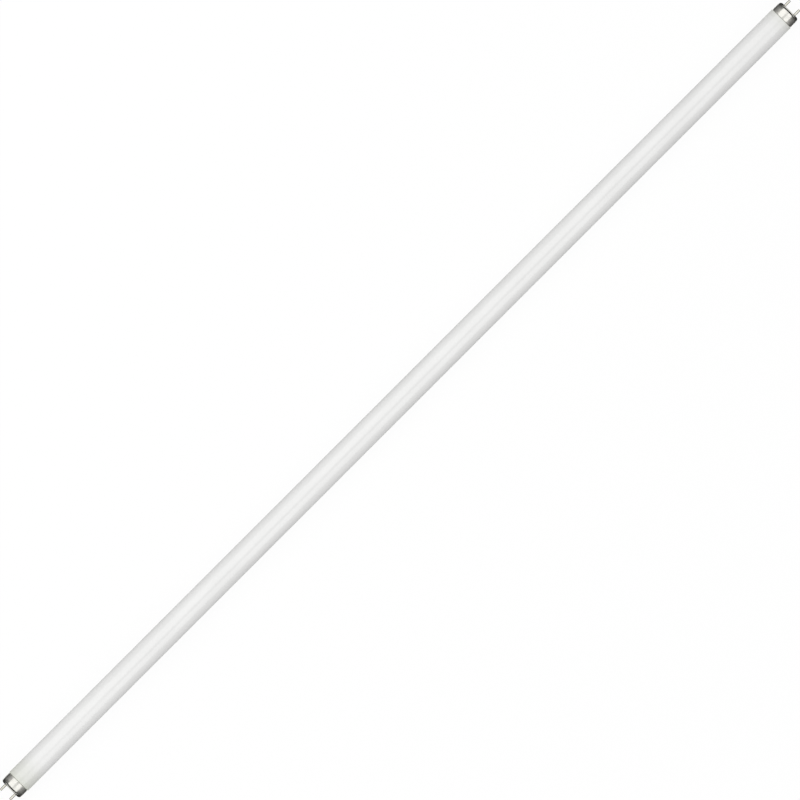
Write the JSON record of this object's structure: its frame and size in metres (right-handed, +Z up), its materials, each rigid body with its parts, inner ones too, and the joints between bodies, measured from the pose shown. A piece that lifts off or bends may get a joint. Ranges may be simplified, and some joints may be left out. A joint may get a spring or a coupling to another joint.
{
  "type": "fluorescent tube",
  "caption": "Straight fluorescent tube: white coated sealed glass with drawn aluminium caps and paired contact pins.",
  "frame": {"origin": "middle of the tube's axis, half way between the cap faces", "axes": "+X along the tube towards the right cap, Y through the pins of both caps, +Z up with the tube lying level"},
  "size_m": [1.0612, 0.0254, 0.0254],
  "materials": {
    "coated_glass": "clear glossy glass over a white coat, opaque",
    "cap_metal": "bright drawn",
    "insulator_plastic": "moulded",
    "cement": "baked resin cement",
    "pin_metal": "pale plated brass",
    "lead_wire": "drawn wire"
  },
  "bodies": {
    "root": {"glass_tube": "coated_glass", "left_cap_shell": "cap_metal", "left_insulator": "insulator_plastic", "left_cement_ring": "cement", "left_front_pin": "pin_metal", "left_rear_pin": "pin_metal", "left_front_lead": "lead_wire", "left_rear_lead": "lead_wire", "right_cap_shell": "cap_metal", "right_insulator": "insulator_plastic", "right_cement_ring": "cement", "right_front_pin": "pin_metal", "right_rear_pin": "pin_metal", "right_front_lead": "lead_wire", "right_rear_lead": "lead_wire"}
  },
  "joints": []
}
